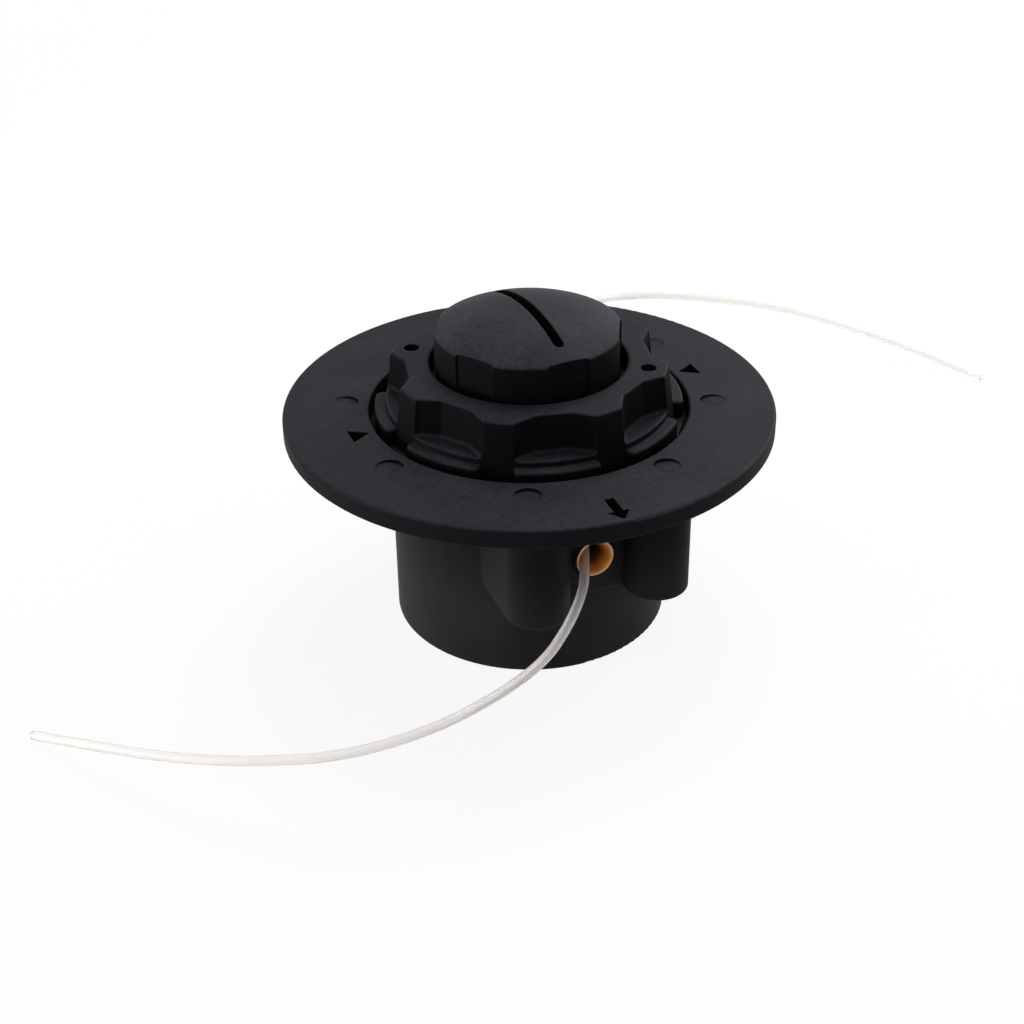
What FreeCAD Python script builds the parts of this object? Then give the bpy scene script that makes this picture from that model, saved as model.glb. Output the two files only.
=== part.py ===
import FreeCAD
import Part
import math
import os
from FreeCAD import Vector

# Bump feed trimmer head, in mm. The drum's foot stands on z = 0 and the bump knob points up (+Z).
# The front line eyelet faces -Y. Angles are taken about Z from the front, positive towards +X.

# Clearances
move_gap = 0.3           # between pieces that move past each other
journal_gap = 0.1        # spool sleeve on the post
seat_gap = 0.05          # pieces pressed or moulded into a seat
cut_over = 4.0           # how far a cut runs past the face that it opens
near_zero = 0.01         # for picking edges, and the flat left at a round end

# Bump travel and the drum's foot
bump_travel = 5.0
bump_spare = 2.7         # room left under the spool at full bump
foot_depth = 11.0
foot_wall = 2.5
foot_round = 0.6
web_thickness = 2.5
rib_count = 8
rib_width = 2.0
rib_depth = 4.0

# Drum and flange
drum_d = 60.0
drum_wall = 2.2
flange_d = 105.0
flange_thickness = 4.1
flange_top_round = 0.65
flange_foot_round = 0.4
well_d = 68.4
well_depth = 5.0
well_edge_round = 0.5
neck_wall = 2.4
neck_drop = 5.5          # neck below the well's floor
neck_slope = 2.6         # height of the cone between drum and neck
neck_fillet = 1.2

# Post and drive insert
post_d = 16.0
post_clear = 1.0         # post top under the spool sleeve's top
hex_flats = 18.0
hex_height = 6.5
hex_recess = 0.5         # insert face inside the boss
hex_cover = 1.5          # web left over the hex
shank_d = 11.0
shank_length = 24.0
thread_d = 6.8
thread_depth = 26.0
boss_wall = 2.6

# Spool, counted from its lower face
spool_flange_lower = 2.0
chamber_height = 6.5
divider_thickness = 1.4
spool_flange_upper = 1.6
hub_d = 31.0
hub_wall = 2.1
sleeve_wall = 2.05
sleeve_rise = 7.8        # sleeve above the upper flange
pocket_roof = 2.7        # between the spring pocket and the upper face
neck_inner_d = 30.4
spigot_rise = 8.0        # spigot that enters the knob
winding_d_upper = 47.0
winding_d_lower = 45.0
winding_slope = 1.5      # where the outer turns thin out

# Feed steps: lugs on the spool pass between two rows of lobes on the drum wall
lug_count = 6
lug_width = 12.0         # degrees
lobe_width = 10.0        # degrees
lobe_depth = 1.25
lobe_overlap = 0.9       # lobes reach this far past the lugs, up and down
lug_gap = 0.4

# Bayonet cap
tab_count = 4
tab_width = 24.0         # degrees
tab_reach = 2.3
tab_thickness = 1.4
tab_first = 33.0         # degrees, locked
cap_twist = 35.0         # degrees from locked to open
entry_gap = 2.0          # degrees each side of a tab
lip_thickness = 2.6
skirt_wall = 2.1
skirt_air = 0.7          # over the spool
skirt_gap = 0.4          # inside the drum's throat
cap_well_gap = 1.3
cap_rise = 10.4          # above the flange
cap_roof = 5.1           # over the knob's collar
lobe_top_d = 58.9
lobe_foot_d = 62.2       # where the lobes meet the ring
ring_height = 2.0
grip_count = 8
grip_first = 11.0        # degrees
grip_width = 7.0
pocket_back_d = 52.6
pocket_back_width = 7.2
pocket_floor = 2.2       # above the flange
pocket_draft = -4.0      # degrees
pocket_corner = 1.2
pocket_floor_round = 0.9
grip_edge_round = 0.6
pocket_rim_round = 0.45
lip_rise = 1.2           # lips between the lobes, above the flange
lip_width = 32.6         # degrees
lip_corner = 1.5
lip_round = 0.7
pin_hole_d = 3.3
pin_hole_depth = 1.4
pin_hole_radius = 25.5
pin_hole_angles = (56.0, -124.0)

# Bump knob
knob_d = 39.7
knob_wall = 2.4
knob_cap_gap = 1.1
knob_rise = 12.0         # above the cap's top
dome_radius = 42.8
dome_wall = 2.6
shoulder_round = 0.9
knob_turn = 3.0          # degrees, at rest
panel_count = 6
panel_width = 8.9        # flat panels sunk into the knob's wall
panel_depth = 0.85
collar_reach = 1.5
collar_height = 2.2
collar_gap = 0.6
slot_length = 30.8
slot_width = 2.2
slot_depth = 5.0
slot_wall = 2.0
key_count = 4
key_width = 3.0
key_depth = 1.6

# Spring and thrust washer
spring_wire = 1.3
spring_turns = 4.5
wire_sides = 8           # faces round the wire
washer_thickness = 1.2

# Eyelets and what holds them
eyelet_bore_d = 4.0
eyelet_tube_d = 6.0
eyelet_lip_d = 8.4
eyelet_lip = 1.5         # lip's thickness
eyelet_seat = 0.5        # lip sunk into the wall
eyelet_seat_gap = 0.45   # open ring round the lip
eyelet_bell = 4.0        # depth of the bell mouth
eyelet_rim = 0.35
eyelet_wall_r = 34.55    # outer face of the wall, from the axis
eyelet_inset = 0.2       # tube end inside the drum's wall

# Line guards: a column with a half-round nose stands on each side of an eyelet
guard_side = 13.3        # column's middle, sideways from the eyelet's axis
guard_width = 13.5
guard_front = 43.2       # nose, from the spin axis
guard_foot = 21.4
guard_foot_round = 0.6

# Recessed marks on the flange
mark_depth = 2.4
pointer_apex_r = 35.6
pointer_length = 4.2
pointer_width = 5.2
arrow_tip_r = 51.6
arrow_length = 8.0
arrow_head_length = 3.1
arrow_head = 4.5
arrow_shaft = 2.0
arrow_turn = -1.5        # degrees
dot_r = 39.3
dot_d = 5.6
dot_depth = 0.36
dot_tilt = 6.0           # degrees, deeper towards the cap
dot_first = 22.5

# Nylon line: routes of the two tails, from the eyelet's bore to the tip on the floor
line_d = 2.0
tail_front = (
    (0.6, -28.0, 31.0), (-2.0, -37.5, 28.6), (-6.3, -44.0, 27.4), (-12.5, -50.4, 26.0),
    (-20.4, -56.3, 24.5), (-31.4, -60.8, 22.3), (-45.1, -62.2, 19.7), (-61.5, -59.1, 16.3),
    (-76.9, -50.4, 12.7), (-89.1, -39.1, 9.2), (-100.0, -26.4, 5.8), (-113.4, -10.3, 1.1),
)
tail_rear = (
    (-0.6, 28.0, 31.0), (2.0, 37.5, 28.6), (5.6, 44.3, 27.5), (11.7, 52.2, 26.6),
    (19.8, 61.1, 25.9), (29.4, 72.6, 24.7), (40.5, 86.5, 22.6), (55.6, 101.0, 19.5),
    (75.3, 107.7, 16.1), (96.0, 104.2, 13.4), (114.9, 95.3, 10.4), (130.9, 82.0, 7.4),
    (143.6, 66.8, 4.5), (155.3, 48.0, 1.1),
)

# Heights worked out from the stack of pieces
web_top = foot_depth + web_thickness
spool_foot = web_top + bump_travel + bump_spare
lower_chamber = spool_foot + spool_flange_lower
divider_foot = lower_chamber + chamber_height
upper_chamber = divider_foot + divider_thickness
spool_roof = upper_chamber + chamber_height
spool_top = spool_roof + spool_flange_upper
eyelet_z = divider_foot + divider_thickness / 2
skirt_foot = spool_top + skirt_air
groove_foot = skirt_foot - move_gap
groove_top = skirt_foot + tab_thickness + move_gap
well_floor = groove_top + lip_thickness
flange_top = well_floor + well_depth
flange_foot = flange_top - flange_thickness
neck_foot = well_floor - neck_drop
cap_foot = well_floor + move_gap
cap_top = flange_top + cap_rise
cap_shoulder = cap_top - cap_roof
collar_top = cap_shoulder - move_gap
knob_foot = collar_top - collar_height
knob_top = cap_top + knob_rise
sleeve_top = spool_top + sleeve_rise
post_top = sleeve_top - post_clear
pocket_top = spool_top - pocket_roof
hex_top = web_top - hex_cover
insert_foot = hex_top - hex_height
boss_foot = insert_foot - hex_recess

# Radii worked out from the diameters and walls
drum_r = drum_d / 2
throat_r = drum_r - drum_wall
recess_r = drum_r - foot_wall
flange_r = flange_d / 2
well_r = well_d / 2
neck_r = well_r + neck_wall
post_r = post_d / 2
hex_corner_r = hex_flats / math.sqrt(3)
boss_r = hex_corner_r + boss_wall
lug_r = throat_r - lug_gap
spool_r = throat_r - lobe_depth - lug_gap
hub_r = hub_d / 2
spring_pocket_r = hub_r - hub_wall
sleeve_r = post_r + journal_gap + sleeve_wall
skirt_r = throat_r - skirt_gap
tab_r = skirt_r + tab_reach
groove_r = tab_r + skirt_gap
cap_base_r = well_r - cap_well_gap
knob_r = knob_d / 2
cap_bore_r = knob_r + knob_cap_gap
collar_r = cap_bore_r + collar_reach
cap_room_r = collar_r + collar_gap
knob_room_r = knob_r - knob_wall
spigot_r = knob_room_r - seat_gap
lug_pitch = 360.0 / lug_count
grip_pitch = 360.0 / grip_count

axis_z = Vector(0, 0, 1)
origin = Vector(0, 0, 0)


# Shaping helpers

def at(radius, angle):
    turn = math.radians(angle)
    return (radius * math.sin(turn), -radius * math.cos(turn))


def outline(corners, place):
    # Closed outline of straight runs. A third number at a corner rounds it with a tangent arc.
    flat = [Vector(c[0], c[1], 0) for c in corners]
    arrive, middle, leave = [], [], []
    for i, corner in enumerate(corners):
        radius = corner[2] if len(corner) > 2 else 0.0
        back = (flat[i - 1] - flat[i]).normalize()
        ahead = (flat[(i + 1) % len(flat)] - flat[i]).normalize()
        half = back.getAngle(ahead) / 2
        reach = radius / math.tan(half)
        inward = (back + ahead).normalize() if radius else Vector()
        arrive.append(flat[i] + back * reach)
        leave.append(flat[i] + ahead * reach)
        middle.append(flat[i] + inward * (radius / math.sin(half) - radius))
    edges = []
    for i in range(len(corners)):
        if leave[i - 1].distanceToPoint(arrive[i]) > 1e-6:
            edges.append(Part.makeLine(place(leave[i - 1]), place(arrive[i])))
        if arrive[i].distanceToPoint(leave[i]) > 1e-6:
            edges.append(Part.Arc(place(arrive[i]), place(middle[i]), place(leave[i])).toShape())
    return Part.Face(Part.Wire(edges))


def upright(shape):
    if shape.Volume < 0:
        shape.reverse()
    return shape


def turned(section):
    # Solid of revolution from (radius, height) corners
    face = outline(section, lambda p: Vector(p.x, 0, p.y))
    return upright(face.revolve(origin, axis_z, 360))


def raised(corners, low, high):
    # Upright prism from (x, y) corners
    face = outline(corners, lambda p: Vector(p.x, p.y, low))
    return upright(face.extrude(Vector(0, 0, high - low)))


def across(section, left, right):
    # Prism along X from (outward, height) corners, outward being -Y
    face = outline(section, lambda p: Vector(left, -p.x, p.y))
    return upright(face.extrude(Vector(right - left, 0, 0)))


def around(shape, angle):
    copy = shape.copy()
    copy.rotate(origin, axis_z, angle)
    return copy


def pattern(shape, first, count):
    return [around(shape, first + i * 360.0 / count) for i in range(count)]


def sector(inner, outer, low, high, width):
    # Piece of a ring, centred on the front
    ring = Part.makeCylinder(outer, high - low, Vector(0, 0, low), axis_z, width)
    ring = ring.cut(Part.makeCylinder(inner, high - low, Vector(0, 0, low)))
    return around(ring, -90.0 - width / 2)


def rod(radius, low, high):
    return Part.makeCylinder(radius, high - low, Vector(0, 0, low))


# Housing

def hexagon(flats, low, high):
    corner = flats / math.sqrt(3)
    return raised([at(corner, 60.0 * i) for i in range(6)], low, high)


def housing_shell():
    shank_r = shank_d / 2 + seat_gap
    shank_top = hex_top + shank_length + seat_gap
    return turned([
        (recess_r, 0),
        (drum_r, 0, foot_round),
        (drum_r, neck_foot - neck_slope),
        (neck_r, neck_foot),
        (neck_r, flange_foot, neck_fillet),
        (flange_r, flange_foot, flange_foot_round),
        (flange_r, flange_top, flange_top_round),
        (well_r, flange_top, well_edge_round),
        (well_r, well_floor),
        (throat_r, well_floor),
        (throat_r, groove_top),
        (groove_r, groove_top),
        (groove_r, groove_foot),
        (throat_r, groove_foot),
        (throat_r, web_top),
        (post_r, web_top),
        (post_r, post_top),
        (0, post_top),
        (0, shank_top),
        (shank_r, shank_top),
        (shank_r, boss_foot),
        (boss_r, boss_foot),
        (boss_r, foot_depth),
        (recess_r, foot_depth),
    ])


def foot_ribs():
    length = recess_r - boss_r + foot_wall
    rib = Part.makeBox(rib_width, length, rib_depth + web_thickness / 2,
                       Vector(-rib_width / 2, -boss_r - length + foot_wall / 2, foot_depth - rib_depth))
    return pattern(rib, 180.0 / rib_count, rib_count)


def feed_lobes():
    # Upper row stops the lugs at rest, lower row stops them half a step on at full bump
    high_foot = spool_foot - lobe_overlap
    high_top = lower_chamber + lobe_overlap
    low_top = lower_chamber - bump_travel + lobe_overlap
    inner = throat_r - lobe_depth
    outer = throat_r + drum_wall / 2
    upper = sector(inner, outer, high_foot, high_top, lobe_width)
    lower = sector(inner, outer, web_top, low_top, lobe_width)
    quarter = lug_pitch / 4
    return pattern(upper, quarter, lug_count) + pattern(lower, 3 * quarter, lug_count)


def guard(side):
    half = guard_width / 2
    nose = guard_front - half
    height = flange_foot + flange_thickness / 2 - guard_foot
    column = Part.makeBox(guard_width, nose, height, Vector(side - half, -nose, guard_foot))
    column = column.fuse(Part.makeCylinder(half, height, Vector(side, -nose, guard_foot))).removeSplitter()
    low_edges = [e for e in column.Edges if e.BoundBox.ZMax < guard_foot + near_zero]
    outer_edges = [e for e in low_edges if e.BoundBox.YMin < -near_zero]
    column = column.makeFillet(guard_foot_round, outer_edges)
    return column.cut([rod(drum_r - drum_wall / 2, 0, neck_foot), rod(neck_r - neck_wall / 2, neck_foot, flange_top)])


def eyelet_wall():
    wall = across([
        (0, guard_foot),
        (eyelet_wall_r, guard_foot, guard_foot_round),
        (eyelet_wall_r, neck_foot),
        (0, neck_foot),
    ], -guard_side, guard_side)
    return wall.cut(rod(drum_r - drum_wall / 2, 0, flange_top))


def eyelet_hole():
    outward = Vector(0, -1, 0)
    hole = Part.makeCylinder(eyelet_tube_d / 2 + seat_gap, eyelet_wall_r, origin, outward)
    seat = Vector(0, eyelet_seat - eyelet_wall_r, 0)
    return hole.fuse(Part.makeCylinder(eyelet_lip_d / 2 + eyelet_seat_gap, cut_over, seat, outward))


def flange_marks():
    low = flange_top - mark_depth
    high = flange_top + cut_over
    pointer_base_r = pointer_apex_r + pointer_length
    pointer = raised([
        (0, -pointer_apex_r), (pointer_width / 2, -pointer_base_r), (-pointer_width / 2, -pointer_base_r),
    ], low, high)
    arrow_neck_r = arrow_tip_r - arrow_head_length
    arrow_tail_r = arrow_tip_r - arrow_length
    arrow = raised([
        (-arrow_shaft / 2, -arrow_tail_r),
        (-arrow_shaft / 2, -arrow_neck_r),
        (-arrow_head / 2, -arrow_neck_r),
        (0, -arrow_tip_r),
        (arrow_head / 2, -arrow_neck_r),
        (arrow_shaft / 2, -arrow_neck_r),
        (arrow_shaft / 2, -arrow_tail_r),
    ], low, high)
    dot_middle = Vector(0, -dot_r, flange_top - dot_depth)
    dot = Part.makeCylinder(dot_d / 2, cut_over, dot_middle)
    dot.rotate(dot_middle, Vector(1, 0, 0), -dot_tilt)
    return pattern(pointer, 90.0, 2) + pattern(arrow, arrow_turn, 2) + pattern(dot, dot_first, 8)


def make_housing():
    exits = []
    holes = []
    for angle in (0.0, 180.0):
        for piece in (guard(-guard_side), guard(guard_side), eyelet_wall()):
            exits.append(around(piece, angle))
        hole = eyelet_hole()
        hole.translate(Vector(0, 0, eyelet_z))
        holes.append(around(hole, angle))
    body = housing_shell().fuse(exits + foot_ribs() + feed_lobes()).removeSplitter()
    entry = sector(skirt_r, groove_r, groove_foot, well_floor, tab_width + 2 * entry_gap)
    entries = pattern(entry, tab_first + cap_twist, tab_count)
    holes = [hole.cut(rod(post_r + drum_wall, 0, flange_top)) for hole in holes]
    nut = hexagon(hex_flats + 2 * seat_gap, boss_foot, hex_top)
    return body.cut(entries + holes + flange_marks() + [nut])


def make_drive_insert():
    body = hexagon(hex_flats, insert_foot, hex_top).fuse(rod(shank_d / 2, hex_top, hex_top + shank_length))
    return body.cut(rod(thread_d / 2, insert_foot, insert_foot + thread_depth))


# Spool and its line

def make_spool():
    neck_r_outer = knob_r - seat_gap
    neck_r_inner = neck_inner_d / 2
    body = turned([
        (post_r + journal_gap, spool_foot),
        (sleeve_r, spool_foot),
        (sleeve_r, pocket_top),
        (spring_pocket_r, pocket_top),
        (spring_pocket_r, spool_foot),
        (spool_r, spool_foot),
        (spool_r, lower_chamber),
        (hub_r, lower_chamber),
        (hub_r, divider_foot),
        (spool_r, divider_foot),
        (spool_r, upper_chamber),
        (hub_r, upper_chamber),
        (hub_r, spool_roof),
        (spool_r, spool_roof),
        (spool_r, spool_top),
        (neck_r_outer, spool_top),
        (neck_r_outer, knob_foot),
        (spigot_r, knob_foot),
        (spigot_r, knob_foot + spigot_rise),
        (neck_r_inner, knob_foot + spigot_rise),
        (neck_r_inner, spool_top),
        (sleeve_r, spool_top),
        (sleeve_r, sleeve_top),
        (post_r + journal_gap, sleeve_top),
    ])
    lug = sector(hub_r, lug_r, spool_foot, lower_chamber, lug_width)
    notch = Part.makeBox(key_width + 2 * seat_gap, knob_r, spigot_rise,
                         Vector(-key_width / 2 - seat_gap, -knob_r, knob_foot))
    notch = notch.cut(rod(knob_room_r - key_depth - seat_gap, knob_foot, knob_foot + spigot_rise))
    keys = pattern(notch, knob_turn + 180.0 / key_count, key_count)
    return body.fuse(pattern(lug, 0.0, lug_count)).removeSplitter().cut(keys)


def make_winding(foot, diameter):
    low = foot + seat_gap
    high = foot + chamber_height - seat_gap
    radius = diameter / 2
    return turned([
        (hub_r + seat_gap, low),
        (radius - winding_slope, low),
        (radius, low + winding_slope),
        (radius, high - winding_slope),
        (radius - winding_slope, high),
        (hub_r + seat_gap, high),
    ])


# Spring and washer

def make_thrust_washer():
    top = pocket_top - move_gap
    return turned([
        (sleeve_r + move_gap, top - washer_thickness),
        (spring_pocket_r - move_gap, top - washer_thickness),
        (spring_pocket_r - move_gap, top),
        (sleeve_r + move_gap, top),
    ])


def make_feed_spring():
    low = web_top + seat_gap + spring_wire / 2
    high = pocket_top - move_gap - washer_thickness - seat_gap - spring_wire / 2
    radius = (sleeve_r + spring_pocket_r) / 2
    helix = Part.makeHelix((high - low) / spring_turns, high - low, radius)
    helix.translate(Vector(0, 0, low))
    edge = helix.Edges[0]
    start = edge.valueAt(edge.FirstParameter)
    ahead = edge.tangentAt(edge.FirstParameter)
    out = Vector(start.x, start.y, 0).normalize()
    up = ahead.cross(out).normalize()
    turns = [math.radians(360.0 * i / wire_sides) for i in range(wire_sides)]
    ring = [start + (out * math.cos(t) + up * math.sin(t)) * (spring_wire / 2) for t in turns]
    section = Part.makePolygon(ring + ring[:1])
    return upright(Part.Wire(helix.Edges).makePipeShell([section], True, True))


# Cap and knob

def grip_pocket():
    back = pocket_back_d / 2
    half = pocket_back_width / 2
    turn = math.radians(grip_pitch / 2)
    side = Vector(math.cos(turn), -math.sin(turn), 0) * (-grip_width / 2)
    spoke = Vector(math.sin(turn), math.cos(turn), 0)
    near = spoke * (lobe_top_d / 2) + side
    far = spoke * (cap_base_r + cut_over) + side
    floor = flange_top + pocket_floor
    pocket = raised([
        (-half, -back, pocket_corner),
        (half, -back, pocket_corner),
        (near.x, -near.y, pocket_corner),
        (far.x, -far.y),
        (-far.x, -far.y),
        (-near.x, -near.y, pocket_corner),
    ], floor, cap_top + cut_over)
    low_edges = [e for e in pocket.Edges if e.BoundBox.ZMax < floor + near_zero]
    floor_edges = [e for e in low_edges if e.BoundBox.YMax > -far.y + near_zero]
    pocket = pocket.makeFillet(pocket_floor_round, floor_edges)
    pocket.rotate(Vector(0, -back, floor), Vector(1, 0, 0), pocket_draft)
    return pocket


def is_turned(face):
    # Whether a face runs round the spin axis
    surface = face.Surface
    lean = math.hypot(surface.Axis.x, surface.Axis.y)
    aside = 0.0 if isinstance(surface, Part.Plane) else math.hypot(surface.Center.x, surface.Center.y)
    return lean < near_zero and aside < near_zero


def pocket_rims(body):
    # Edges where the pockets break through the turned surface
    outer = [e for f in body.Faces if is_turned(f) for e in f.Edges]
    inner = [e for f in body.Faces if not is_turned(f) for e in f.Edges]
    return [e for e in inner if any(e.isSame(o) for o in outer)]


def pocket_lip():
    # Stands out under a pocket's floor, with rounded ends
    lip = sector(skirt_r, cap_base_r, cap_foot, flange_top + lip_rise, lip_width)
    outside = lobe_foot_d / 2
    ends = [e for e in lip.Edges if e.BoundBox.ZLength > near_zero and e.BoundBox.YMax < -outside * 0.9]
    lip = lip.makeFillet(lip_corner, ends)
    top = [e for e in lip.Edges if e.BoundBox.ZMin > flange_top + lip_rise - near_zero]
    return lip.makeFillet(lip_round, [e for e in top if e.BoundBox.YMin < -outside * 0.9])


def make_cap_ring():
    inner_foot = cap_foot + skirt_wall
    body = turned([
        (cap_bore_r, cap_shoulder),
        (cap_room_r, cap_shoulder),
        (cap_room_r, inner_foot),
        (skirt_r - skirt_wall, inner_foot),
        (skirt_r - skirt_wall, skirt_foot),
        (skirt_r, skirt_foot),
        (skirt_r, cap_foot),
        (cap_base_r, cap_foot),
        (cap_base_r, cap_foot + ring_height),
        (lobe_foot_d / 2, cap_foot + ring_height),
        (lobe_top_d / 2, cap_top, grip_edge_round),
        (cap_bore_r, cap_top, grip_edge_round),
    ])
    pockets = pattern(grip_pocket(), grip_first + grip_pitch / 2, grip_count)
    body = body.cut(pockets)
    body = body.makeFillet(pocket_rim_round, pocket_rims(body))
    tab = sector(skirt_r - skirt_wall / 2, tab_r, skirt_foot, skirt_foot + tab_thickness, tab_width)
    lips = pattern(pocket_lip(), grip_first + grip_pitch / 2, grip_count)
    body = body.fuse(pattern(tab, tab_first, tab_count) + lips).removeSplitter()
    holes = []
    for angle in pin_hole_angles:
        hole = Part.makeCylinder(pin_hole_d / 2, pin_hole_depth,
                                 Vector(0, -pin_hole_radius, cap_top - pin_hole_depth))
        holes.append(around(hole, angle))
    return body.cut(holes)


def dome(radius, crown):
    # Ball whose crown lies on the axis
    return Part.makeSphere(radius, Vector(0, 0, crown - radius))


def make_bump_knob():
    solid = rod(knob_r, knob_foot, knob_top).common(dome(dome_radius, knob_top))
    rim = [e for e in solid.Edges if e.BoundBox.ZLength < near_zero and e.BoundBox.ZMin > collar_top]
    solid = solid.makeFillet(shoulder_round, rim)
    panel = Part.makeBox(panel_width, knob_r, knob_top,
                         Vector(-panel_width / 2, panel_depth - 2 * knob_r, collar_top))
    solid = solid.cut(pattern(panel, knob_turn, panel_count))
    room = rod(knob_room_r, knob_foot, knob_top).common(dome(dome_radius - dome_wall, knob_top - dome_wall))
    slot_floor = knob_top - slot_depth
    bar = raised([
        (-slot_width / 2 - slot_wall, -knob_room_r),
        (slot_width / 2 + slot_wall, -knob_room_r),
        (slot_width / 2 + slot_wall, knob_room_r),
        (-slot_width / 2 - slot_wall, knob_room_r),
    ], slot_floor - slot_wall, knob_top).common(solid)
    key = Part.makeBox(key_width, key_depth + knob_wall / 2, spigot_rise + move_gap,
                       Vector(-key_width / 2, -knob_room_r - knob_wall / 2, knob_foot))
    collar = turned([
        (knob_room_r, knob_foot),
        (collar_r, knob_foot),
        (collar_r, collar_top),
        (knob_room_r, collar_top),
    ])
    pieces = [around(bar, knob_turn), collar]
    pieces += pattern(key, knob_turn + 180.0 / key_count, key_count)
    end = slot_width / 2 - near_zero
    slot = raised([
        (-slot_width / 2, -slot_length / 2, end),
        (slot_width / 2, -slot_length / 2, end),
        (slot_width / 2, slot_length / 2, end),
        (-slot_width / 2, slot_length / 2, end),
    ], slot_floor, knob_top + cut_over)
    return solid.cut(room).fuse(pieces).removeSplitter().cut(around(slot, knob_turn))


# Eyelets and line tails

def make_eyelet():
    bore = eyelet_bore_d / 2
    lip = eyelet_lip_d / 2
    tube = eyelet_tube_d / 2
    seat = eyelet_wall_r - eyelet_seat
    face = seat + eyelet_lip
    mouth = lip - eyelet_rim
    bell = ((mouth - bore) ** 2 + eyelet_bell ** 2) / (2 * (mouth - bore))
    throat = Vector(bore, 0, face - eyelet_bell)
    lean = math.asin(eyelet_bell / bell) / 2
    along = Vector(bore + bell * (1 - math.cos(lean)), 0, throat.z + bell * math.sin(lean))
    rim_middle = Vector(lip - eyelet_rim * (1 - math.sqrt(0.5)), 0, face - eyelet_rim * (1 - math.sqrt(0.5)))
    corners = [
        Vector(lip, 0, face - eyelet_rim), Vector(lip, 0, seat), Vector(tube, 0, seat),
        Vector(tube, 0, throat_r + eyelet_inset), Vector(bore, 0, throat_r + eyelet_inset), throat,
    ]
    edges = [Part.makeLine(a, b) for a, b in zip(corners, corners[1:])]
    edges.append(Part.Arc(throat, along, Vector(mouth, 0, face)).toShape())
    edges.append(Part.Arc(Vector(mouth, 0, face), rim_middle, corners[0]).toShape())
    shape = upright(Part.Face(Part.Wire(edges)).revolve(origin, axis_z, 360))
    shape.rotate(origin, Vector(1, 0, 0), 90)
    shape.translate(Vector(0, 0, eyelet_z))
    return shape


def make_tail(name, route):
    points = [Vector(*p) for p in route]
    edges = []
    radii = []
    last = points[0]
    for before, corner, after in zip(points, points[1:], points[2:]):
        back = before - corner
        ahead = after - corner
        turn = math.pi - back.getAngle(ahead)
        reach = 0.45 * min(back.Length, ahead.Length)
        radius = reach / math.tan(turn / 2)
        back.normalize()
        ahead.normalize()
        inward = (back + ahead).normalize()
        start = corner + back * reach
        middle = corner + inward * (radius / math.cos(turn / 2) - radius)
        end = corner + ahead * reach
        edges.append(Part.LineSegment(last, start).toShape())
        edges.append(Part.Arc(start, middle, end).toShape())
        radii.append(radius)
        last = end
    edges.append(Part.LineSegment(last, points[-1]).toShape())
    path = Part.Wire(edges)
    section = Part.Wire(Part.makeCircle(line_d / 2, points[0], points[1] - points[0]))
    tube = upright(path.makePipeShell([section], True, False))
    expected = math.pi * line_d ** 2 / 4 * path.Length
    print(name, "length", round(path.Length, 1), "volume share", round(tube.Volume / expected, 4))
    print(name, "radii", [round(r, 1) for r in radii])
    return tube


eyelet = make_eyelet()
nodes = {
    "housing": make_housing(),
    "drive_insert": make_drive_insert(),
    "line_eyelet_front": eyelet,
    "line_eyelet_rear": around(eyelet, 180.0),
    "spool": make_spool(),
    "line_winding_upper": make_winding(upper_chamber, winding_d_upper),
    "line_winding_lower": make_winding(lower_chamber, winding_d_lower),
    "thrust_washer": make_thrust_washer(),
    "feed_spring": make_feed_spring(),
    "cap_ring": make_cap_ring(),
    "bump_knob": make_bump_knob(),
    "line_tail_front": make_tail("line_tail_front", tail_front),
    "line_tail_rear": make_tail("line_tail_rear", tail_rear),
}

os.makedirs("parts", exist_ok=True)
for name, shape in nodes.items():
    shape.exportStep(os.path.join("parts", name + ".step"))
    print(name, "solids", len(shape.Solids), "valid", shape.isValid(), "volume", round(shape.Volume))
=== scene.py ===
import bpy
import math
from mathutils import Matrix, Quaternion, Vector


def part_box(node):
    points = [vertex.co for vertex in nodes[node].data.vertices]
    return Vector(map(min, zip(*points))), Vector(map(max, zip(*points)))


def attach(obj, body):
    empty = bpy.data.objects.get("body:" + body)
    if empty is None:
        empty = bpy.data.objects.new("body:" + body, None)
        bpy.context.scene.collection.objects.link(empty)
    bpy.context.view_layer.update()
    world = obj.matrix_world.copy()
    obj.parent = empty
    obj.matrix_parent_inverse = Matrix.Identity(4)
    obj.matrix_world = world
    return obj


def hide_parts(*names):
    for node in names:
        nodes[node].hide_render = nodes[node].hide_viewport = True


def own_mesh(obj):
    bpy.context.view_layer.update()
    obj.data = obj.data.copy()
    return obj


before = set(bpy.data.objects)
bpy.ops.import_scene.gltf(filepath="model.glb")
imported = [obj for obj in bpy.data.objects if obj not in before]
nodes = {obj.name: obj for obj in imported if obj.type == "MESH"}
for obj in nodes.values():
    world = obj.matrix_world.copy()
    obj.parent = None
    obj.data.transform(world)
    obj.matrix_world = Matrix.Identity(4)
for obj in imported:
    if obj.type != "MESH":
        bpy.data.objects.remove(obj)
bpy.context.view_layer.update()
mm = 0.001
print("frame loaded with", len(nodes), "nodes")


# Camera, at the photograph's viewpoint: it looks down on the flange from the front left
photoView = {
    "azimuth": -22.0,        # degrees round the spin axis from the front eyelet
    "elevation": 27.69,      # degrees above the flange
    "distance": 370 * mm,    # from the middle of the flange's top
    "aimRight": -3.94 * mm,  # from that middle to the picture's centre
    "aimDrop": 27.65 * mm,
    "roll": -0.86,           # degrees
    "lens": 60.70,           # mm, on a sensor as wide as the next value
    "sensor": 36.0,
    "nearest": 10 * mm,      # anything closer isn't drawn
}


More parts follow.
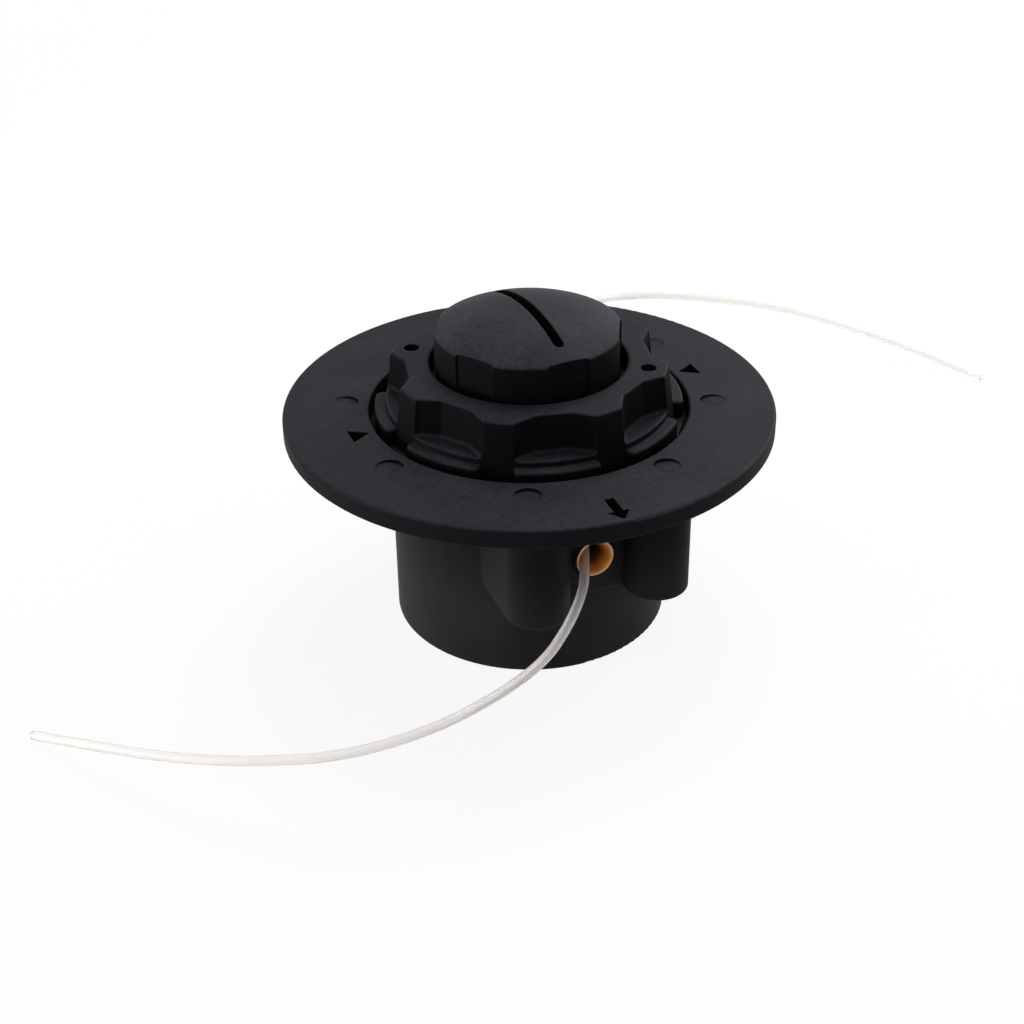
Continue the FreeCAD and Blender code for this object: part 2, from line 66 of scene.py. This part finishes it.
def setCamera(view):
    flangeTop = Vector((0, 0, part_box("housing")[1].z))
    around = math.radians(view["azimuth"])
    above = math.radians(view["elevation"])
    level = math.cos(above)
    back = Vector((math.sin(around) * level, -math.cos(around) * level, math.sin(above)))
    rightHand = Vector((math.cos(around), math.sin(around), 0))
    eye = flangeTop + back * view["distance"]
    aim = flangeTop + rightHand * view["aimRight"] - Vector((0, 0, view["aimDrop"]))
    bpy.ops.object.camera_add(location=eye)
    camera = bpy.context.object
    camera.name = "photoCamera"
    camera.rotation_mode = "QUATERNION"
    turn = (aim - eye).to_track_quat("-Z", "Y")
    camera.rotation_quaternion = turn @ Quaternion((0, 0, 1), math.radians(view["roll"]))
    camera.data.sensor_width = view["sensor"]
    camera.data.lens = view["lens"]
    camera.data.clip_start = view["nearest"]
    bpy.context.scene.camera = camera


setCamera(photoView)
print("camera set")


# Shader maths: one socket of a material's tree, so that masks are written as plain sums
class Socket:
    def __init__(self, tree, out=None):
        self.tree = tree
        self.out = out

    def node(self, kind, settings, inputs, output=0):
        made = self.tree.nodes.new(kind)
        for name, value in settings.items():
            if name == "stops":
                self.setStops(made.color_ramp, value)
            else:
                setattr(made, name, value)
        for name, value in inputs.items():
            if isinstance(value, Socket):
                self.tree.links.new(value.out, made.inputs[name])
            else:
                made.inputs[name].default_value = value
        return Socket(self.tree, made.outputs[output])

    def setStops(self, ramp, stops):
        while len(ramp.elements) < len(stops):
            ramp.elements.new(1.0)
        for element, (place, shade) in zip(ramp.elements, stops):
            element.position = place
            element.color = (shade, shade, shade, 1)

    def maths(self, operation, first, second=0.0):
        return self.node("ShaderNodeMath", {"operation": operation}, {0: first, 1: second})

    def __add__(self, other):
        return self.maths("ADD", self, other)

    def __radd__(self, other):
        return self.maths("ADD", other, self)

    def __sub__(self, other):
        return self.maths("SUBTRACT", self, other)

    def __rsub__(self, other):
        return self.maths("SUBTRACT", other, self)

    def __mul__(self, other):
        return self.maths("MULTIPLY", self, other)

    def __rmul__(self, other):
        return self.maths("MULTIPLY", other, self)


def newMaterial(name, fixed):
    # A material with its shader's constant sockets set, a Socket to build on, and the shader
    material = bpy.data.materials.new(name)
    material.use_nodes = True
    shader = material.node_tree.nodes["Principled BSDF"]
    for socket, value in fixed.items():
        shader.inputs[socket].default_value = value
    return material, Socket(material.node_tree), shader


def feed(pen, shader, links):
    for name, source in links.items():
        pen.tree.links.new(source.out, shader.inputs[name])


def onPiece(pen, output="Object"):
    return pen.node("ShaderNodeTexCoord", {}, {}, output)


def threeWays(pen, place):
    split = pen.node("ShaderNodeSeparateXYZ", {}, {0: place})
    return [Socket(pen.tree, out) for out in split.out.node.outputs]


def colour(pen, first, second, mask):
    return pen.node("ShaderNodeMix", {"data_type": "RGBA"}, {"Factor": mask, 6: first, 7: second}, 2)


def speckle(pen, place, size, detail=2.0, rough=0.5):
    settings = {"Vector": place, "Scale": 1 / size, "Detail": detail, "Roughness": rough}
    return pen.node("ShaderNodeTexNoise", {}, settings)


def ramp(pen, value, stops):
    return pen.node("ShaderNodeValToRGB", {"stops": stops}, {"Fac": value})


def relief(pen, height, depth, strength, under=None):
    inputs = {"Strength": strength, "Distance": depth, "Height": height}
    if under is not None:
        inputs["Normal"] = under
    return pen.node("ShaderNodeBump", {}, inputs)


def dress(node, material):
    mesh = nodes[node].data
    mesh.materials.clear()
    mesh.materials.append(material)


# Moulded plastic: near black, with a fine spark-eroded grain, softened edges paled by wear and a painted
# highlight, dull tops paled by dust and painted top light, and painted light on the lower drum
housingLook = {
    "dark": (0.0030, 0.0031, 0.0042, 1),
    "pale": (0.0052, 0.0053, 0.0068, 1),
    "cloudSize": 14 * mm,
    "cloudStops": [(0.3, 0.0), (0.7, 1.0)],
    "mottleSize": 1.1 * mm,
    "mottleStops": [(0.36, 0.0), (0.64, 1.0)],
    "mottleShare": 0.45,     # the clouds have the rest
    # wear and a painted highlight on the edges
    "wearAndEdgeHighlight": (0.0070, 0.0070, 0.0085, 1),
    "wearAndHighlightLean": [(0.02, 0.0), (0.22, 1.0)],  # by how far the softened edge leans from the face
    "wearAndHighlightPatchSize": 4 * mm,
    "wearAndHighlightPatchStops": [(0.40, 0.1), (0.65, 0.6)],
    # dust and painted top light: faces that look up are painted paler
    "dustAndTopLightDark": (0.0095, 0.0091, 0.0125, 1),
    "dustAndTopLightPale": (0.0265, 0.0256, 0.0315, 1),
    "dustAndTopLightFrom": 48.0 * mm,   # dust and painted top light on faces above this height
    "dustAndTopLightLean": [(0.25, 0.0), (0.65, 1.0)],  # by how far a face looks up
    # painted light: the drum is painted paler towards its foot
    "paintedLowLight": (0.0228, 0.0228, 0.0246, 1),
    "paintedLowLightTop": 36.0 * mm,    # the drum is painted paler below this height
    "paintedLowLightFoot": 14.0 * mm,   # and palest from here down
    "paintedLowLightStops": [(0.25, 0.45), (0.70, 1.0)],
    "roughLow": 0.52,
    "roughHigh": 0.62,
    "roughGrain": 0.04,
    "grainSize": 0.30 * mm,
    "grainDepth": 0.018 * mm,
    "grainStrength": 0.5,
    "edgeRound": 0.35 * mm,
    "edgeSamples": 6,
    "specular": 0.05,
}
# The cap's and the knob's plastic is the housing's made darker, painted shade on their side walls; the
# knob's dust is paler, more painted top light on its dome
capLook = dict(housingLook, dark=(0.0016, 0.0016, 0.0024, 1), pale=(0.0034, 0.0034, 0.0046, 1),
               dustAndTopLightFrom=0.0, specular=0.045, edgeRound=0.45 * mm)
knobLook = dict(housingLook, dark=(0.0022, 0.0022, 0.0030, 1), pale=(0.0042, 0.0042, 0.0054, 1),
                dustAndTopLightDark=(0.0155, 0.0149, 0.0190, 1), dustAndTopLightPale=(0.0405, 0.0390, 0.0470, 1),
                dustAndTopLightFrom=0.0, specular=0.04, grainSize=0.36 * mm, edgeRound=0.55 * mm)
spoolLook = dict(housingLook, dark=(0.018, 0.018, 0.020, 1), pale=(0.026, 0.026, 0.028, 1),
                 wearAndEdgeHighlight=(0.05, 0.05, 0.052, 1), dustAndTopLightFrom=1.0, specular=0.4, grainSize=0.5 * mm)


def mouldedPlastic(name, look, withPaintedLowLight=False):
    material, pen, shader = newMaterial(name, {"Specular IOR Level": look["specular"]})
    place = onPiece(pen)
    height = threeWays(pen, place)[2]
    upward = threeWays(pen, onPiece(pen, "Normal"))[2]
    grain = speckle(pen, place, look["grainSize"], detail=3.0, rough=0.6)
    clouds = speckle(pen, place, look["cloudSize"], detail=4.0, rough=0.6)
    wearAndHighlightPatches = speckle(pen, place, look["wearAndHighlightPatchSize"], detail=3.0)
    mottle = speckle(pen, place, look["mottleSize"], detail=3.0, rough=0.65)
    shade = (1 - look["mottleShare"]) * ramp(pen, clouds, look["cloudStops"])
    shade = shade + look["mottleShare"] * ramp(pen, mottle, look["mottleStops"])

    # Wear and a painted highlight on the edges, where the softened normal leans away from the face's own
    softNormal = pen.node("ShaderNodeBevel", {"samples": look["edgeSamples"]}, {"Radius": look["edgeRound"]})
    trueNormal = pen.node("ShaderNodeNewGeometry", {}, {}, "Normal")
    bothNormals = {0: softNormal, 1: trueNormal}
    facing = pen.node("ShaderNodeVectorMath", {"operation": "DOT_PRODUCT"}, bothNormals, "Value")
    wearAndHighlightMask = ramp(pen, 1 - facing, look["wearAndHighlightLean"]) * ramp(pen, wearAndHighlightPatches, look["wearAndHighlightPatchStops"])
    tone = colour(pen, look["dark"], look["pale"], shade)
    tone = colour(pen, tone, look["wearAndEdgeHighlight"], wearAndHighlightMask)

    # Dust and painted top light on what looks up, and painted light on the drum, paler towards its foot
    dustAndTopLight = colour(pen, look["dustAndTopLightDark"], look["dustAndTopLightPale"], shade)
    dustAndTopLightMask = ramp(pen, upward, look["dustAndTopLightLean"]) * pen.maths("GREATER_THAN", height, look["dustAndTopLightFrom"])
    tone = colour(pen, tone, dustAndTopLight, dustAndTopLightMask)
    if withPaintedLowLight:
        fade = (look["paintedLowLightTop"] - height) * (1 / (look["paintedLowLightTop"] - look["paintedLowLightFoot"]))
        low = ramp(pen, fade, [(0.0, 0.0), (1.0, 1.0)])
        tone = colour(pen, tone, look["paintedLowLight"], low * ramp(pen, clouds, look["paintedLowLightStops"]))
    span = look["roughHigh"] - look["roughLow"]
    rough = look["roughLow"] + span * shade + look["roughGrain"] * grain
    bump = relief(pen, grain, look["grainDepth"], look["grainStrength"], softNormal)
    feed(pen, shader, {"Base Color": tone, "Roughness": rough, "Normal": bump})
    return material


dress("housing", mouldedPlastic("housingPlastic", housingLook, True))
dress("cap_ring", mouldedPlastic("capPlastic", capLook))
dress("bump_knob", mouldedPlastic("knobPlastic", knobLook))
dress("spool", mouldedPlastic("spoolPlastic", spoolLook))
print("moulded plastic done")


# Eyelets: pressed bronze, pale on the rim from rubbing and a painted highlight, and darker brown in the
# throat with painted shade
eyeletLook = {
    # paler on the rim from rubbing and a painted highlight
    "rim": (0.58, 0.34, 0.20, 1),
    "bell": (0.50, 0.190, 0.030, 1),
    # a darker copy of the bell colour: painted shade deep in the bore
    "throat": (0.16, 0.058, 0.010, 1),
    "dirt": (0.06, 0.028, 0.012, 1),
    "rimFrom": 35.15 * mm,   # outward from the spin axis
    "rimWidth": 0.4 * mm,
    "rimStops": [(0.1, 0.0), (0.8, 1.0)],
    "rimRagged": 0.5,        # share by which patches move the border
    "throatTo": 32.6 * mm,
    "bellStops": [(0.0, 0.0), (0.75, 1.0)],
    "bellRagged": 0.2,
    "dirtStops": [(0.60, 0.0), (0.80, 0.5)],
    "patchSize": 1.6 * mm,
    "fineSize": 0.3 * mm,
    "fineDepth": 0.02 * mm,
    "fineStrength": 0.3,
    "rough": 0.38,
    "roughSpread": 0.16,
    "metal": 0.75,
}


def eyeletBronze(look):
    material, pen, shader = newMaterial("eyeletBronze", {"Metallic": look["metal"]})
    place = onPiece(pen)
    reach = pen.maths("ABSOLUTE", threeWays(pen, place)[1])
    patches = speckle(pen, place, look["patchSize"], detail=4.0, rough=0.65)
    fine = speckle(pen, place, look["fineSize"])
    uneven = patches - 0.5
    # Painted shade: the bore darkens towards the throat. The rim is paled by rubbing and a painted
    # highlight.
    bell = (reach - look["throatTo"]) * (1 / (look["rimFrom"] - look["throatTo"]))
    bell = ramp(pen, bell + look["bellRagged"] * uneven, look["bellStops"])
    rim = (reach - look["rimFrom"]) * (1 / look["rimWidth"])
    rim = ramp(pen, rim + look["rimRagged"] * uneven, look["rimStops"])
    tone = colour(pen, look["throat"], look["bell"], bell)
    tone = colour(pen, tone, look["rim"], rim)
    tone = colour(pen, tone, look["dirt"], ramp(pen, fine, look["dirtStops"]))
    rough = look["rough"] + look["roughSpread"] * patches
    bump = relief(pen, fine, look["fineDepth"], look["fineStrength"])
    feed(pen, shader, {"Base Color": tone, "Roughness": rough, "Normal": bump})
    return material


bronze = eyeletBronze(eyeletLook)
dress("line_eyelet_front", bronze)
dress("line_eyelet_rear", bronze)
print("eyelets done")


# Steel inside: a turned washer, and an insert with a left-hand thread cut in its bore
insertLook = {
    "zinc": (0.56, 0.56, 0.57, 1),
    "dull": (0.36, 0.36, 0.36, 1),
    "patchSize": 5 * mm,
    "patchStops": [(0.35, 0.0), (0.65, 1.0)],
    "fineSize": 0.25 * mm,
    "fineShare": 0.04,       # of the relief
    "reliefDepth": 0.45 * mm,
    "reliefStrength": 0.8,
    "rough": 0.36,
    "roughSpread": 0.14,
    "threadRadius": 3.7 * mm,
    "threadPitch": 1.25 * mm,
}
washerLook = dict(insertLook, zinc=(0.50, 0.50, 0.51, 1), rough=0.30, fineShare=0.03,
                  ringPitch=0.4 * mm, ringShare=0.03)


def platedSteel(name, look, threaded):
    material, pen, shader = newMaterial(name, {"Metallic": 1.0})
    place = onPiece(pen)
    x, y, z = threeWays(pen, place)
    spread = x * x + y * y
    patches = speckle(pen, place, look["patchSize"], detail=4.0, rough=0.65)
    fine = speckle(pen, place, look["fineSize"])
    tone = colour(pen, look["dull"], look["zinc"], ramp(pen, patches, look["patchStops"]))
    if threaded:
        phase = z * (1 / look["threadPitch"]) + pen.maths("ARCTAN2", y, x) * (0.5 / math.pi)
        inBore = pen.maths("LESS_THAN", spread, look["threadRadius"] ** 2)
        marks = pen.maths("PINGPONG", phase, 0.5) * inBore
    else:
        rings = pen.maths("SQRT", spread) * (2 * math.pi / look["ringPitch"])
        marks = pen.maths("SINE", rings) * look["ringShare"]
    bump = relief(pen, marks + look["fineShare"] * fine, look["reliefDepth"], look["reliefStrength"])
    rough = look["rough"] + look["roughSpread"] * patches
    feed(pen, shader, {"Base Color": tone, "Roughness": rough, "Normal": bump})
    return material


dress("drive_insert", platedSteel("insertSteel", insertLook, True))
dress("thrust_washer", platedSteel("washerSteel", washerLook, False))
print("steel done")


# Feed spring: round drawn wire, wound as the CAD helix runs
springLook = {
    "wire": 1.3 * mm,
    "turns": 4.5,
    "sides": 16,             # round the wire
    "stepsPerHalfTurn": 24,
    "merge": 0.001 * mm,     # points closer than this become one
    "smoothBelow": 40,       # degrees between faces
    "travel": 5.0 * mm,
    "steel": (0.38, 0.38, 0.39, 1),
    "blued": (0.16, 0.15, 0.15, 1),
    "patchSize": 6 * mm,
    "patchStops": [(0.3, 0.2), (0.6, 1.0)],
    "fineSize": 0.2 * mm,
    "fineDepth": 0.02 * mm,
    "fineStrength": 0.2,
    "rough": 0.28,
    "roughSpread": 0.2,
}


def springSteel(look):
    material, pen, shader = newMaterial("springSteel", {"Metallic": 1.0})
    place = onPiece(pen)
    patches = speckle(pen, place, look["patchSize"], detail=3.0)
    fine = speckle(pen, place, look["fineSize"])
    tone = colour(pen, look["blued"], look["steel"], ramp(pen, patches, look["patchStops"]))
    rough = look["rough"] + look["roughSpread"] * patches
    bump = relief(pen, fine, look["fineDepth"], look["fineStrength"])
    feed(pen, shader, {"Base Color": tone, "Roughness": rough, "Normal": bump})
    return material


def feedSpring(look, material):
    low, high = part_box("feed_spring")
    wireRadius = look["wire"] / 2
    start = (high.x - wireRadius, 0, low.z + wireRadius)
    height = high.z - low.z
    halfTurns = round(look["turns"] * 2)
    bpy.ops.object.select_all(action="DESELECT")
    bpy.ops.mesh.primitive_circle_add(vertices=look["sides"], radius=wireRadius, location=start,
                                      rotation=(math.pi / 2, 0, 0))
    spring = bpy.context.object
    spring.name = "feedSpring"
    bpy.ops.object.transform_apply(location=True, rotation=True, scale=True)
    winding = spring.modifiers.new("winding", "SCREW")
    winding.angle = math.pi
    winding.screw_offset = (height - look["wire"]) / halfTurns
    winding.iterations = halfTurns
    winding.steps = look["stepsPerHalfTurn"]
    winding.render_steps = look["stepsPerHalfTurn"]
    bpy.ops.object.modifier_apply(modifier="winding")
    bpy.ops.object.mode_set(mode="EDIT")
    bpy.ops.mesh.select_all(action="SELECT")
    bpy.ops.mesh.remove_doubles(threshold=look["merge"])
    bpy.ops.mesh.fill_holes(sides=0)
    bpy.ops.mesh.select_all(action="SELECT")
    bpy.ops.mesh.normals_make_consistent(inside=False)
    bpy.ops.object.mode_set(mode="OBJECT")
    bpy.ops.object.shade_smooth_by_angle(angle=math.radians(look["smoothBelow"]))
    spring.data.materials.append(material)
    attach(spring, "housing")
    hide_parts("feed_spring")
    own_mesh(spring)


feedSpring(springLook, springSteel(springLook))
print("feed spring done")


# Nylon line: milky and partly see-through, with a faintly uneven skin
lineLook = {
    "diameter": 2.0 * mm,
    "milk": (0.985, 0.945, 0.920, 1),
    "warm": (0.990, 0.955, 0.915, 1),
    "cloudSize": 12 * mm,
    "cloudStops": [(0.35, 0.0), (0.65, 1.0)],
    "seeThrough": 0.66,
    "bending": 1.53,         # index of refraction
    "scatter": 0.3,
    "scatterTint": (1, 0.95, 0.9),
    "scatterDepth": 1.0 * mm,
    "rough": 0.40,
    "roughSpread": 0.14,
    "fineSize": 0.5 * mm,
    "fineDepth": 0.02 * mm,
    "fineStrength": 0.15,
    "turnDepth": 1.0 * mm,   # between the turns of the wound line
    "turnShare": 0.6,
    "turnFine": 0.02,
    "stepsPerPoint": 16,
    "roundness": 5,
}


def nylon(name, look, wound):
    material, pen, shader = newMaterial(name, {
        "Transmission Weight": look["seeThrough"],
        "IOR": look["bending"],
        "Subsurface Weight": look["scatter"],
        "Subsurface Radius": look["scatterTint"],
        "Subsurface Scale": look["scatterDepth"],
    })
    place = onPiece(pen)
    clouds = speckle(pen, place, look["cloudSize"], detail=3.0)
    fine = speckle(pen, place, look["fineSize"])
    tone = colour(pen, look["milk"], look["warm"], ramp(pen, clouds, look["cloudStops"]))
    if wound:
        along = threeWays(pen, place)[2] * (math.pi / look["diameter"])
        turns = pen.maths("ABSOLUTE", pen.maths("SINE", along))
        height = turns * look["turnShare"] + look["turnFine"] * fine
        bump = relief(pen, height, look["turnDepth"], 1.0)
    else:
        bump = relief(pen, fine, look["fineDepth"], look["fineStrength"])
    rough = look["rough"] + look["roughSpread"] * clouds
    feed(pen, shader, {"Base Color": tone, "Roughness": rough, "Normal": bump})
    return material


# The two tails, with routes in mm from the eyelet's bore to the tip on the floor, and lengths in metres
frontTail = {
    "length": 0.153,
    "route": [
        (0.6, -28.0, 31.0), (-2.8, -37.0, 28.6), (-6.8, -43.6, 27.5), (-12.6, -50.2, 26.1),
        (-20.2, -56.7, 24.4), (-31.4, -60.6, 22.3), (-45.1, -62.25, 19.6), (-61.6, -59.2, 16.2),
        (-76.9, -50.0, 12.8), (-89.0, -39.1, 9.2), (-100.2, -26.7, 5.7), (-113.38, -10.25, 1.1),
    ],
}
rearTail = {
    "length": 0.219,
    "route": [
        (-0.6, 28.0, 31.0), (2.0, 37.5, 28.6), (5.6, 44.3, 27.5), (11.7, 52.2, 26.6),
        (19.8, 61.1, 25.9), (29.4, 72.6, 24.7), (40.5, 86.5, 22.6), (55.3, 101.3, 19.6),
        (75.5, 107.75, 16.3), (95.7, 104.1, 13.2), (115.3, 95.6, 10.7), (130.8, 81.9, 7.3),
        (143.7, 66.9, 4.6), (155.28, 48.0, 1.1),
    ],
}


def lineTail(name, node, tail, look, material):
    route = [tuple(x * mm for x in spot) for spot in tail["route"]]
    curve = bpy.data.curves.new(name, "CURVE")
    curve.dimensions = "3D"
    spline = curve.splines.new("NURBS")
    spline.points.add(len(route) - 1)
    for point, spot in zip(spline.points, route):
        point.co = spot + (1,)
    spline.order_u = 3
    spline.use_endpoint_u = True
    spline.resolution_u = look["stepsPerPoint"]
    curve.bevel_depth = look["diameter"] / 2
    curve.bevel_resolution = look["roundness"]
    curve.use_fill_caps = True
    curve.materials.append(material)
    line = bpy.data.objects.new(name, curve)
    bpy.context.scene.collection.objects.link(line)
    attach(line, "housing")
    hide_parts(node)


lineNylon = nylon("lineNylon", lineLook, False)
woundNylon = nylon("woundNylon", lineLook, True)
lineTail("lineTailFront", "line_tail_front", frontTail, lineLook, lineNylon)
lineTail("lineTailRear", "line_tail_rear", rearTail, lineLook, lineNylon)
dress("line_winding_upper", woundNylon)
dress("line_winding_lower", woundNylon)
print("line done")


# Floor and light: white all round for the camera, with lamps above, at the right and low at the left
studio = {
    "floorSize": 6.0,
    "floorColour": (0.90, 0.90, 0.90, 1),
    "floorGlow": 0.90,       # share of the floor that shows as plain white near the object
    "shadowReach": 0.25,     # from the spin axis, where the share begins to rise
    "allWhite": 0.60,        # where the floor is white like the world
    "white": (1, 1, 1, 1),
    "worldLight": 0.50,
}
lamps = [
    {"name": "topSoftbox", "place": (0.24, 0.26, 0.75), "aim": (0, 0, 0.05), "size": 0.5, "power": 3.7},
    {"name": "rightSoftbox", "place": (0.58, 0.32, 0.32), "aim": (0.02, 0, 0.05), "size": 0.3, "power": 1.9},
    {"name": "leftFill", "place": (-0.50, 0.06, 0.045), "aim": (0, 0, 0.025), "size": 0.08, "power": 1.2},
]


def seenDirectly(pen):
    camera = pen.node("ShaderNodeLightPath", {}, {}, "Is Camera Ray")
    glossy = pen.node("ShaderNodeLightPath", {}, {}, "Is Glossy Ray")
    through = pen.node("ShaderNodeLightPath", {}, {}, "Is Transmission Ray")
    return pen.maths("MAXIMUM", pen.maths("MAXIMUM", camera, glossy), through)


def makeFloor(look):
    bpy.ops.object.select_all(action="DESELECT")
    bpy.ops.mesh.primitive_plane_add(size=look["floorSize"])
    floor = bpy.context.object
    floor.name = "studioFloor"
    matt = {"Base Color": look["floorColour"], "Roughness": 1.0, "Specular IOR Level": 0.0}
    material, pen, shader = newMaterial("studioFloor", matt)
    glow = pen.node("ShaderNodeEmission", {}, {"Color": look["white"], "Strength": 1.0})
    x, y = threeWays(pen, onPiece(pen))[:2]
    away = pen.maths("SQRT", x * x + y * y)
    share = ramp(pen, away, [(look["shadowReach"], look["floorGlow"]), (look["allWhite"], 1.0)])
    mask = seenDirectly(pen) * share
    mixed = pen.node("ShaderNodeMixShader", {}, {0: mask, 1: Socket(pen.tree, shader.outputs[0]), 2: glow})
    pen.tree.links.new(mixed.out, pen.tree.nodes["Material Output"].inputs["Surface"])
    floor.data.materials.append(material)


def makeWorld(look):
    world = bpy.data.worlds.new("studioWorld")
    bpy.context.scene.world = world
    world.use_nodes = True
    pen = Socket(world.node_tree)
    strength = look["worldLight"] + (1 - look["worldLight"]) * seenDirectly(pen)
    background = world.node_tree.nodes["Background"]
    background.inputs["Color"].default_value = look["white"]
    world.node_tree.links.new(strength.out, background.inputs["Strength"])


def addLamp(look):
    bpy.ops.object.light_add(type="AREA", location=look["place"])
    lamp = bpy.context.object
    lamp.name = look["name"]
    lamp.data.shape = "DISK"
    lamp.data.size = look["size"]
    lamp.data.energy = look["power"]
    lamp.visible_camera = False
    lamp.rotation_mode = "QUATERNION"
    lamp.rotation_quaternion = (Vector(look["aim"]) - Vector(look["place"])).to_track_quat("-Z", "Y")


makeFloor(studio)
makeWorld(studio)
for lampLook in lamps:
    addLamp(lampLook)
bpy.context.scene.view_settings.view_transform = "Standard"
print("studio done")
